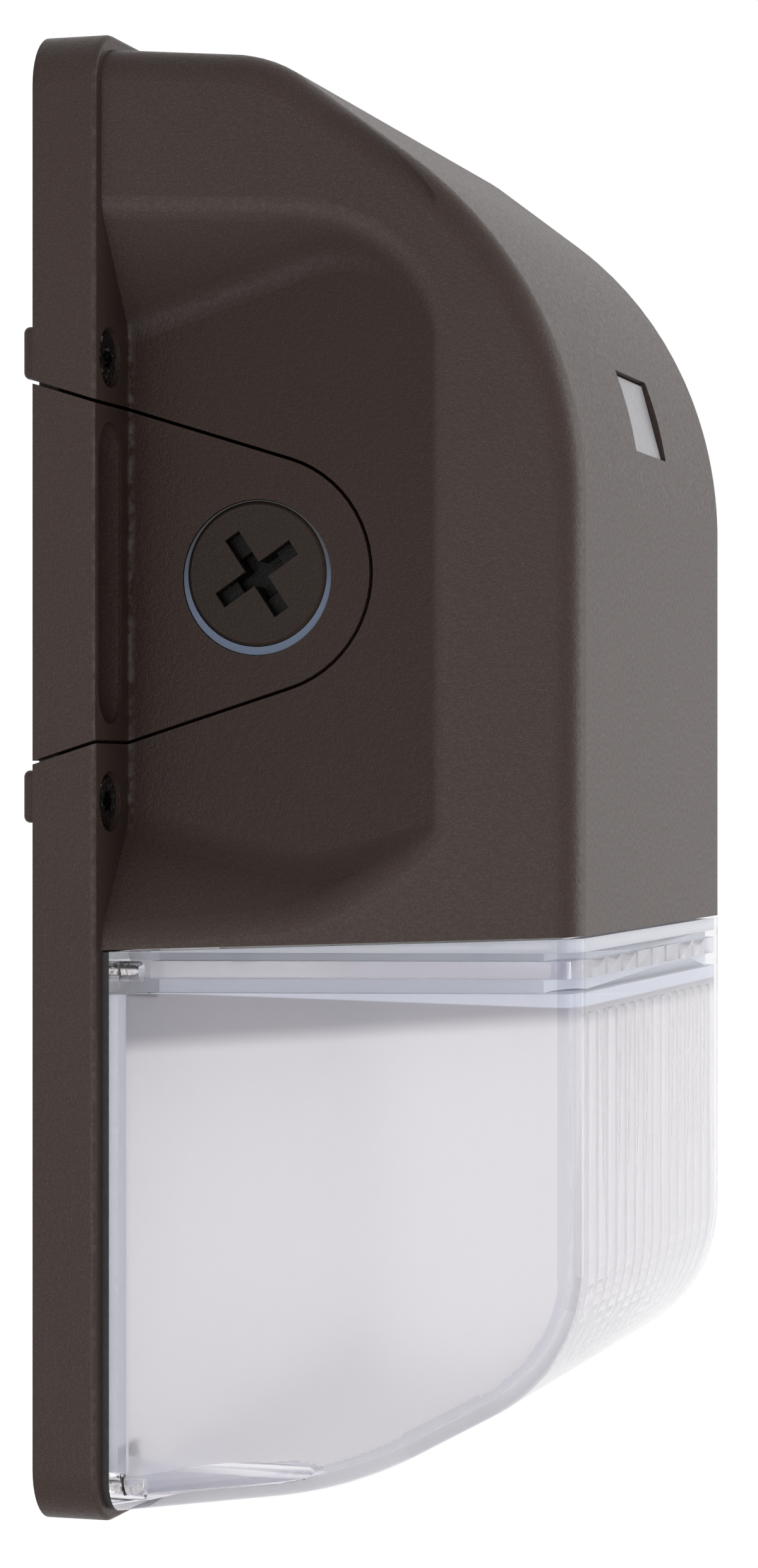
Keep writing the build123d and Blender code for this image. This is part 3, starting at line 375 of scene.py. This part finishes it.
# %% Dark in the plugs' cross slots
PLUG_DEPTH = -0.0315
PLUG_AXIS = (0, PLUG_DEPTH, 0)
ACROSS_PLUG = (0, 1, 1)
SLOT_REACH = 0.0071
SLOT_RANGE = (0.0534, 0.0541)
SLOT_COLOUR = (0.004, 0.003, 0.0025)


def vector_step(tree, operation, first, second):
    """One step of arithmetic on vectors."""
    node = add_node(tree, "ShaderNodeVectorMath", operation=operation)
    feed(tree, node.inputs[0], first)
    feed(tree, node.inputs[1], second)
    return node.outputs


def slot_mask(tree):
    """One deep in the slots, nothing at the face of the heads and away from their middle."""
    place = object_place(tree)
    side, _, _ = split_place(tree, place)
    deep = stretch(tree, side, *SLOT_RANGE, 1.0, 0.0)
    flat = vector_step(tree, "MULTIPLY", place, ACROSS_PLUG)["Vector"]
    from_axis = vector_step(tree, "DISTANCE", flat, PLUG_AXIS)["Value"]
    return calculate(tree, "MULTIPLY", deep, calculate(tree, "LESS_THAN", from_axis, SLOT_REACH))


lay_on(bronze_plug_coat, slot_mask(bronze_plug_coat.node_tree), SLOT_COLOUR)
print("slots go dark between", SLOT_RANGE)

# %% [markdown]
# The small parts are plain industrial finishes: silicone, rubber, foam, plated steel, moulded plastics and
# white enamel. Each is the same recipe with its own two tones, its own gloss and its own grain, so a table
# holds them.

# %% Finishes of the small parts
SMALL_TONE = 60.0
SMALL_FINISHES = {
    "blue_silicone": dict(light=(0.105, 0.145, 0.225), dark=(0.08, 0.112, 0.178), rough=(0.30, 0.42),
                          grain=600.0, bump=(0.1, 0.0002)),
    "zinc_plate": dict(light=(0.75, 0.74, 0.72), dark=(0.60, 0.59, 0.57), rough=(0.18, 0.34),
                       grain=1600.0, bump=(0.1, 0.0001), Metallic=1.0),
    "green_plate": dict(light=(0.05, 0.30, 0.10), dark=(0.03, 0.22, 0.07), rough=(0.25, 0.40),
                        grain=1600.0, bump=(0.1, 0.0001), Metallic=0.6),
    "dark_rubber": dict(light=(0.030, 0.029, 0.030), dark=(0.020, 0.019, 0.020), rough=(0.55, 0.75),
                        grain=900.0, bump=(0.25, 0.0002)),
    "grey_foam": dict(light=(0.055, 0.055, 0.058), dark=(0.028, 0.028, 0.030), rough=(0.80, 0.95),
                      grain=1400.0, bump=(0.9, 0.0004)),
    "white_enamel": dict(light=(0.96, 0.96, 0.97), dark=(0.94, 0.94, 0.95), rough=(0.35, 0.48),
                         grain=500.0, bump=(0.08, 0.0002)),
    "white_mask": dict(light=(0.80, 0.80, 0.76), dark=(0.74, 0.74, 0.70), rough=(0.30, 0.40),
                       grain=800.0, bump=(0.06, 0.0001)),
    "white_moulding": dict(light=(0.78, 0.77, 0.73), dark=(0.72, 0.71, 0.67), rough=(0.40, 0.50),
                           grain=700.0, bump=(0.08, 0.0001)),
    "yellow_phosphor": dict(light=(0.85, 0.66, 0.16), dark=(0.80, 0.58, 0.11), rough=(0.30, 0.45),
                            grain=2500.0, bump=(0.1, 0.0001)),
    "black_case": dict(light=(0.032, 0.032, 0.035), dark=(0.022, 0.022, 0.024), rough=(0.45, 0.60),
                       grain=1100.0, bump=(0.35, 0.0002)),
    "red_jacket": dict(light=(0.48, 0.045, 0.030), dark=(0.40, 0.035, 0.024), rough=(0.35, 0.45),
                       grain=900.0, bump=(0.08, 0.0001)),
    "sensor_cap": dict(light=(0.42, 0.40, 0.36), dark=(0.34, 0.32, 0.29), rough=(0.20, 0.30),
                       grain=900.0, bump=(0.05, 0.0001)),
    "window_frost": dict(light=(0.36, 0.35, 0.37), dark=(0.30, 0.29, 0.31), rough=(0.30, 0.42),
                         grain=900.0, bump=(0.05, 0.0001)),
}
small = {name: base_finish(name, tone=SMALL_TONE, **values) for name, values in SMALL_FINISHES.items()}
print("finishes of small parts:", len(small))

# %% [markdown]
# The sealing ring under each plug's head is pale blue silicone. It shows below the head, and goes dark
# above it, in the shade of the recess. One helper serves this and the lens later on: it tints all that lies
# past a sloping line, seen from the side, with a blurred edge.

# %% Shade on the sealing rings
def tint_past(material, along, foot, blur, colour):
    """Tints a material past a line: along is its direction in depth and height, foot its distance."""
    tree = material.node_tree
    reach = vector_step(tree, "DOT_PRODUCT", object_place(tree), (0, *along))["Value"]
    lay_on(material, stretch(tree, reach, foot - blur, foot + blur, curve="SMOOTHSTEP"), colour)


tint_past(small["blue_silicone"], along=(0.0, 1.0), foot=0.0005, blur=0.0075, colour=(0.012, 0.012, 0.014))
print("shaded:", small["blue_silicone"].name)

# %% [markdown]
# The housing screws are blackened steel. A driver has rubbed the black off in small spots, where bare steel
# glints, so the grain's own mask, cut off high, mixes a silver colour into the black.

# %% Worn black screws
OXIDE_BLACK = (0.022, 0.022, 0.024, 1)
BARE_STEEL = (0.45, 0.45, 0.46, 1)
OXIDE_GRAIN = 1300.0
OXIDE_BUMP = (0.3, 0.0001)
OXIDE_ROUGH = (0.18, 0.36)
RUBBED_RANGE = (0.58, 0.68)

black_oxide, oxide_tree, oxide_shader = new_material("black_oxide", Metallic=0.9)
oxide_mask = place_grain(oxide_tree, oxide_shader, OXIDE_GRAIN, OXIDE_BUMP, OXIDE_ROUGH)
rubbed = stretch(oxide_tree, oxide_mask, *RUBBED_RANGE)
feed(oxide_tree, oxide_shader.inputs["Base Color"], lay_over(oxide_tree, rubbed, OXIDE_BLACK, BARE_STEEL))
print("screw finish:", black_oxide.name)

# %% [markdown]
# The lens is clear polycarbonate, and its faces have different skins. Outside it is polished, and its
# rounded corners look greyer, because light leaves them sideways. Inside, the walls are etched, so that
# what is behind them shows softly blurred, and the floor scatters still more. The shelves at the top and
# the back flange are frosted; the channel between the shelves and the long screw bosses are satin. One
# recipe serves all of them, with its own share of light that passes, its own tint and its own roughness.
# Below the shelves the inner wall has painted shade, a grey wedge for the hood's shadow that is deepest at
# the back, and a pale blue lip along the shelf.

# %% Lens finishes
LENS_INDEX = 1.22
LENS_TONE = 30.0
LENS_BUMP = (0.02, 0.0001)
LENS_FINISHES = {
    "polished_lens": dict(light=(0.955, 0.943, 0.966), dark=(0.940, 0.928, 0.952), rough=(0.02, 0.05),
                          grain=120.0, Transmission_Weight=1.0),
    "satin_lens": dict(light=(0.88, 0.88, 0.95), dark=(0.84, 0.84, 0.91), rough=(0.16, 0.24),
                       grain=900.0, Transmission_Weight=0.70),
    "etched_lens": dict(light=(0.985, 0.972, 0.992), dark=(0.970, 0.957, 0.978), rough=(0.48, 0.58),
                        grain=1800.0, Transmission_Weight=0.60),
    "frosted_lens": dict(light=(0.88, 0.91, 0.98), dark=(0.85, 0.88, 0.95), rough=(0.45, 0.55),
                         grain=1800.0, Transmission_Weight=0.20),
    "floor_lens": dict(light=(0.99, 0.98, 1.0), dark=(0.97, 0.96, 0.985), rough=(0.50, 0.60),
                       grain=1800.0, Transmission_Weight=0.5),
    "edge_lens": dict(light=(0.76, 0.755, 0.82), dark=(0.73, 0.725, 0.79), rough=(0.02, 0.05),
                      grain=120.0, Transmission_Weight=1.0),
}
lens_skins = {name: base_finish(name, tone=LENS_TONE, bump=LENS_BUMP, IOR=LENS_INDEX, **values)
              for name, values in LENS_FINISHES.items()}
etched_lens = lens_skins["etched_lens"]
# Painted shade: a grey wedge below the shelves stands for the shadow of the hood.
tint_past(etched_lens, along=(0.07, 1.0), foot=-0.0686, blur=0.0018, colour=(0.40, 0.39, 0.43))
tint_past(etched_lens, along=(-0.035, 1.0), foot=-0.0592, blur=0.00015, colour=(0.80, 0.86, 0.98))
print("lens finishes:", *lens_skins)

# %% [markdown]
# Each solid keeps its measured shape and gets its finish in its own material slots. A table from node to
# finish shows at a glance that none is forgotten, and the cell prints any that has no finish yet.

# %% Dress the solids
finish_of = {
    "front_housing": bronze_coat, "back_plate": bronze_coat,
    "conduit_plug_left": bronze_plug_coat, "conduit_plug_right": bronze_plug_coat,
    "plug_seal_left": small["blue_silicone"], "plug_seal_right": small["blue_silicone"],
    "housing_screws": black_oxide, "ground_screw": small["green_plate"],
    "lens_screws": small["zinc_plate"], "board_screws": small["zinc_plate"],
    "driver_screws": small["zinc_plate"], "lens_gasket": small["dark_rubber"],
    "wire_grommet": small["dark_rubber"], "lead_grommet": small["dark_rubber"],
    "wall_gasket": small["grey_foam"], "housing_gasket": small["grey_foam"],
    "reflector": small["white_enamel"], "led_board": small["white_mask"],
    "leds": small["yellow_phosphor"], "board_connector": small["white_moulding"],
    "driver": small["black_case"], "led_leads": small["red_jacket"],
    "photocell_window": small["window_frost"], "photocell_sensor": small["sensor_cap"],
    "lens": lens_skins["polished_lens"],
}
for name, finish in finish_of.items():
    for slot in nodes[name].material_slots:
        slot.material = finish
print("dressed:", len(finish_of), "undressed:", sorted(set(nodes) - set(finish_of)))

# %% [markdown]
# A few solids get a finer mesh of their own. Every such piece is finished the same way: its mesh takes its
# materials, it rides on the body that it belongs to, and it may hide the solid that it stands for. Edges
# sharper than an angle stay sharp, so that turned and moulded forms shade as they should.

# %% Helper for pieces
MERGE = 1e-6


def finish_piece(work, name, finishes, body, sharp, replaced=()):
    """Turns a bmesh into a piece that rides on a body; edges over sharp degrees stay sharp."""
    mesh = bpy.data.meshes.new(name)
    work.to_mesh(mesh)
    work.free()
    for finish in finishes:
        mesh.materials.append(finish)
    piece = bpy.data.objects.new(name, mesh)
    bpy.context.collection.objects.link(piece)
    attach(piece, body)
    if replaced:
        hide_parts(*replaced)
    bpy.ops.object.select_all(action="DESELECT")
    piece.select_set(True)
    bpy.context.view_layer.objects.active = piece
    bpy.ops.object.shade_smooth_by_angle(angle=radians(sharp))
    return piece


print("points closer than", MERGE, "are merged")

# %% [markdown]
# The lens needs six finishes on one body, so a copy of its mesh stands for it, with a finish chosen for
# each face. The outside of the lens is convex: a face that lies on the convex hull of the whole lens is
# outside, and every other face is inside. Where a face lies and which way it turns then tell the shelves,
# the channel, the bosses, the flange, the floor and the walls apart.

# %% Which skin a lens face has
EDGE_TURN = (0.30, 0.93)
LENS_SCREW_SPOTS = ((0.0595, -0.0569), (0.0580, -0.13035))
HOLE_REACH = 0.0024
SHELF_ZONES = ((-0.0554, 0.0), (-0.0600, -0.0577))
ETCH_START = -0.0600
BOSS_REACH = 0.0042
BOSS_END = -0.0435
FLANGE_END = -0.0148
FLOOR_TURN = 0.3


def lens_skin(middle, normal, outside):
    """The name of the finish that a lens face takes."""
    if outside:
        return "edge_lens" if EDGE_TURN[0] < abs(normal.x) < EDGE_TURN[1] else "polished_lens"
    spot = Vector((abs(middle.x), middle.z))
    off_screws = [(spot - Vector(screw)).length for screw in LENS_SCREW_SPOTS]
    if min(off_screws) < HOLE_REACH:
        return "polished_lens"
    if any(low < middle.z < high for low, high in SHELF_ZONES):
        return "frosted_lens"
    on_boss = off_screws[-1] < BOSS_REACH and middle.y > BOSS_END
    if middle.z > ETCH_START or on_boss:
        return "satin_lens"
    if middle.y > FLANGE_END:
        return "frosted_lens"
    return "floor_lens" if normal.z > FLOOR_TURN else "etched_lens"


print("lens screws at", LENS_SCREW_SPOTS, "on both sides")

# %% [markdown]
# The mesh of a solid is loose triangles, so the copy is merged first. Its back edge then moves a hair off
# the gasket and the reflector, so that no two faces lie in one place. A copy of the copy is reduced to its
# hull, and a search tree over the hull's faces gives the distance from each lens face to the hull.

# %% Lens with its skins
LENS_BACK = -0.0130
BACK_HAIR = 0.00005
ON_HULL = 0.0004
LENS_SHARP = 20

lens_work = bmesh.new()
lens_work.from_mesh(nodes["lens"].data)
bmesh.ops.remove_doubles(lens_work, verts=lens_work.verts, dist=MERGE)
back_verts = [vert for vert in lens_work.verts if abs(vert.co.y - LENS_BACK) < BACK_HAIR]
bmesh.ops.translate(lens_work, verts=back_verts, vec=(0, -BACK_HAIR, 0))
hull_work = lens_work.copy()
hull = bmesh.ops.convex_hull(hull_work, input=hull_work.verts)
hull_faces = set(item for item in hull["geom"] if isinstance(item, bmesh.types.BMFace))
spare = [face for face in hull_work.faces if face not in hull_faces]
bmesh.ops.delete(hull_work, geom=spare, context="FACES_ONLY")
hull_tree = BVHTree.FromBMesh(hull_work)
hull_work.free()
skin_names = list(lens_skins)
skin_counts = dict.fromkeys(skin_names, 0)
for face in lens_work.faces:
    middle = face.calc_center_median()
    to_hull = hull_tree.find_nearest(middle)[3]
    skin = lens_skin(middle, face.normal, to_hull < ON_HULL)
    face.material_index = skin_names.index(skin)
    skin_counts[skin] += 1
finish_piece(lens_work, "clear_lens", lens_skins.values(), "cover", LENS_SHARP, ["lens"])
print("lens faces:", skin_counts)

# %% [markdown]
# The window of the light sensor is a frosted pane that lies just below the brow. Its solid has sharp edges,
# and a moulded pane has none, so a copy of it gets its face raised a little and a small round along that
# face's edge. The face is found by its normal: it is the large one that looks forwards.

# %% Window pane
PANE_RISE = 0.0007
PANE_ROUND = 0.0003
PANE_STEPS = 3
PANE_SHARP = 30
FLAT = 0.00002
RIM_ANGLE = radians(60)

pane_work = bmesh.new()
pane_work.from_mesh(nodes["photocell_window"].data)
bmesh.ops.remove_doubles(pane_work, verts=pane_work.verts, dist=MERGE)
pane_out = min(pane_work.faces, key=lambda face: face.normal.y * face.calc_area()).normal.copy()
pane_top = max(vert.co.dot(pane_out) for vert in pane_work.verts)
pane_verts = set(vert for vert in pane_work.verts if pane_top - vert.co.dot(pane_out) < FLAT)
pane_edges = [edge for edge in pane_work.edges
              if pane_verts.issuperset(edge.verts) and edge.calc_face_angle(0) > RIM_ANGLE]
pane_edge_count = len(pane_edges)
bmesh.ops.translate(pane_work, verts=list(pane_verts), vec=pane_out * PANE_RISE)
bmesh.ops.bevel(pane_work, geom=pane_edges, offset=PANE_ROUND, offset_type="OFFSET", affect="EDGES",
                segments=PANE_STEPS, profile=0.5, material=-1)
finish_piece(pane_work, "window_pane", [small["window_frost"]], "cover", PANE_SHARP,
             ["photocell_window"])
print("window pane raised by", PANE_RISE, "along", [round(value, 3) for value in pane_out])
print("rounded edges:", pane_edge_count)

# %% [markdown]
# The tips of the lens screws show through the clear bosses, and they are plainly threaded. A thread is a
# small triangle that runs round and along at once: spin does both when it is given a step along the axis as
# well as an angle. The plain core of each screw is the same tool without the step: half an outline, spun
# once round.

# %% Turned bodies and threads
TURN_STEPS = 28
THREAD_FOOT = 0.4
THREAD_SHARP = 35


def turned_body(work, centre, axis, side, outline):
    """Spins an outline of (radius, distance along the axis) once round an axis."""
    verts = [work.verts.new(centre + side * radius + axis * along) for radius, along in outline]
    edges = [work.edges.new(pair) for pair in zip(verts, verts[1:])]
    bmesh.ops.spin(
        work, geom=verts + edges, cent=centre, axis=axis, angle=2 * pi, steps=TURN_STEPS, use_merge=True)


def thread(work, centre, axis, side, root, crest, pitch, start, turns):
    """Winds a triangle of thread round an axis, closed at both ends."""
    foot = THREAD_FOOT * pitch
    corners = [(root, start - foot), (crest, start), (root, start + foot)]
    verts = [work.verts.new(centre + side * radius + axis * along) for radius, along in corners]
    edges = [work.edges.new(pair) for pair in zip(verts, verts[1:] + verts[:1])]
    bmesh.ops.spin(work, geom=verts + edges, cent=centre, axis=axis, dvec=axis * (pitch / TURN_STEPS),
                   angle=2 * pi * turns, steps=TURN_STEPS * turns)
    bmesh.ops.holes_fill(work, edges=[edge for edge in work.edges if edge.is_boundary], sides=len(corners))


def close_body(work):
    """Merges seams and poles, then points all faces outwards."""
    bmesh.ops.remove_doubles(work, verts=work.verts, dist=MERGE)
    bmesh.ops.recalc_face_normals(work, faces=work.faces)


print("steps in a turn:", TURN_STEPS)

# %% [markdown]
# Four screws hold the lens from behind: a low round head on the back of the ledge, a plain core and a
# thread that ends in a short point. All four are one piece, because they are one kind of fastener.

# %% Lens screws
SCREW_OUTLINE = [
    (0, 0.0075), (0.0017, 0.0075), (0.0024, 0.0078), (0.0026, 0.0083), (0.0026, 0.0090),
    (0.00108, 0.0090), (0.00108, 0.0151), (0.0005, 0.0159), (0, 0.0159),
]
SCREW_THREAD = dict(root=0.0010, crest=0.00138, pitch=0.0010, start=0.0098, turns=5)
SCREW_SIDE = Vector((1, 0, 0))
FORWARD = Vector((0, -1, 0))

screw_work = bmesh.new()
for x, z in LENS_SCREW_SPOTS:
    for hand in (-1, 1):
        centre = Vector((hand * x, 0, z))
        turned_body(screw_work, centre, FORWARD, SCREW_SIDE, SCREW_OUTLINE)
        thread(screw_work, centre, FORWARD, SCREW_SIDE, **SCREW_THREAD)
close_body(screw_work)
screws = finish_piece(screw_work, "threaded_lens_screws", [small["zinc_plate"]], "cover",
                      THREAD_SHARP, ["lens_screws"])
print("lens screw faces:", len(screws.data.polygons))

# %% [markdown]
# Each conduit plug is a threaded plug, and its thread comes into sight once it is turned out of the ear.
# The solid's shank is plain, so a ridge of the half inch pitch is wound round it and rides with the plug.

# %% Plug threads
PLUG_SEAT = 0.0518
PLUG_THREAD = dict(root=0.00932, crest=0.00962, pitch=0.001814, start=0.0011, turns=4)
PLUG_SIDE = Vector((0, 0, 1))

for side_name, hand in (("left", -1), ("right", 1)):
    inwards = Vector((-hand, 0, 0))
    centre = Vector((hand * PLUG_SEAT, PLUG_DEPTH, 0))
    plug_work = bmesh.new()
    thread(plug_work, centre, inwards, PLUG_SIDE, **PLUG_THREAD)
    close_body(plug_work)
    plug_thread = finish_piece(plug_work, "plug_thread_" + side_name, [bronze_plug_coat], side_name + "_plug",
                               THREAD_SHARP)
    print("plug thread:", plug_thread.name, len(plug_thread.data.polygons), "faces")

# %% [markdown]
# The studio is a white room with two large soft lamps. The key stands beyond the front of the light and
# lifts its face; the fill stands low on the camera's side and keeps the dark coat readable. Both are big,
# so shadows stay soft. The fill is hidden from rays that pass through the lens, or the lens would show it
# as a white patch.

# %% Lamps
KEY_PLACE = (0.9, -1.7, 0.1)
KEY_SIZE = 1.4
KEY_POWER = 20.0
FILL_PLACE = (-0.86, -0.17, -0.42)
FILL_SIZE = 0.9
FILL_POWER = 7.2
AIM = Vector((0, -0.04, -0.03))


def soft_lamp(name, place, size, power):
    """A square area lamp aimed at the middle of the light, out of sight of the camera."""
    data = bpy.data.lights.new(name, "AREA")
    data.size = size
    data.energy = power
    lamp = bpy.data.objects.new(name, data)
    lamp.location = place
    lamp.rotation_euler = (AIM - Vector(place)).to_track_quat("-Z", "Y").to_euler()
    lamp.visible_camera = False
    bpy.context.collection.objects.link(lamp)
    return lamp


soft_lamp("key", KEY_PLACE, KEY_SIZE, KEY_POWER)
fill_lamp = soft_lamp("fill", FILL_PLACE, FILL_SIZE, FILL_POWER)
fill_lamp.visible_transmission = False
print("lamps: key", KEY_POWER, "fill", FILL_POWER)

# %% [markdown]
# The room shows as plain white wherever it is looked at: by the camera, in a reflection or through the
# lens. For all other light it is dimmer, so that the lamps and not the walls shape the object. The Light
# Path node tells the two apart.

# %% Room
ROOM_LEVEL = 0.38
WHITE = (1, 1, 1, 1)


def looked_at(tree):
    """One where a ray looks at a surface, directly, in a reflection or through glass."""
    path = add_node(tree, "ShaderNodeLightPath")
    seen = path.outputs["Is Camera Ray"]
    for kind in ("Is Glossy Ray", "Is Transmission Ray"):
        seen = calculate(tree, "MAXIMUM", seen, path.outputs[kind])
    return seen


def shown_or_lit(tree, shown, lit):
    """Mixes two shaders: one for what is looked at, one for what lights the scene."""
    mix = add_node(tree, "ShaderNodeMixShader")
    for socket, value in zip(mix.inputs, (looked_at(tree), lit, shown)):
        feed(tree, socket, value)
    return mix.outputs[0]


world = bpy.data.worlds.new("white_room")
bpy.context.scene.world = world
world.use_nodes = True
room = world.node_tree
room.nodes.clear()
shown_room = add_node(room, "ShaderNodeBackground")
shown_room.inputs["Color"].default_value = WHITE
lit_room = add_node(room, "ShaderNodeBackground")
lit_room.inputs["Color"].default_value = WHITE
lit_room.inputs["Strength"].default_value = ROOM_LEVEL
room_out = add_node(room, "ShaderNodeOutputWorld")
feed(room, room_out.inputs["Surface"], shown_or_lit(room, shown_room.outputs[0], lit_room.outputs[0]))
print("room level:", ROOM_LEVEL)

# %% [markdown]
# The floor lies well below the light. It shows as white where it is looked at, and keeps its own pale
# colour, with the shadow on it, for everything that it lights.

# %% Floor
FLOOR_HEIGHT = -0.45
FLOOR_SIZE = 12.0
FLOOR_COLOUR = (0.88, 0.88, 0.88, 1)
FLOOR_ROUGH = 0.8

floor_work = bmesh.new()
bmesh.ops.create_grid(floor_work, x_segments=1, y_segments=1, size=FLOOR_SIZE / 2)
bmesh.ops.translate(floor_work, verts=floor_work.verts, vec=(0, 0, FLOOR_HEIGHT))
floor_mesh = bpy.data.meshes.new("floor")
floor_work.to_mesh(floor_mesh)
floor_work.free()
floor = bpy.data.objects.new("floor", floor_mesh)
bpy.context.collection.objects.link(floor)
pale_floor, floor_tree, floor_shader = new_material(
    "pale_floor", Roughness=FLOOR_ROUGH, Base_Color=FLOOR_COLOUR)
glow = add_node(floor_tree, "ShaderNodeEmission")
glow.inputs["Color"].default_value = WHITE
floor_white = shown_or_lit(floor_tree, glow.outputs[0], floor_shader.outputs[0])
feed(floor_tree, floor_tree.nodes["Material Output"].inputs["Surface"], floor_white)
floor_mesh.materials.append(pale_floor)
print("floor at", FLOOR_HEIGHT)
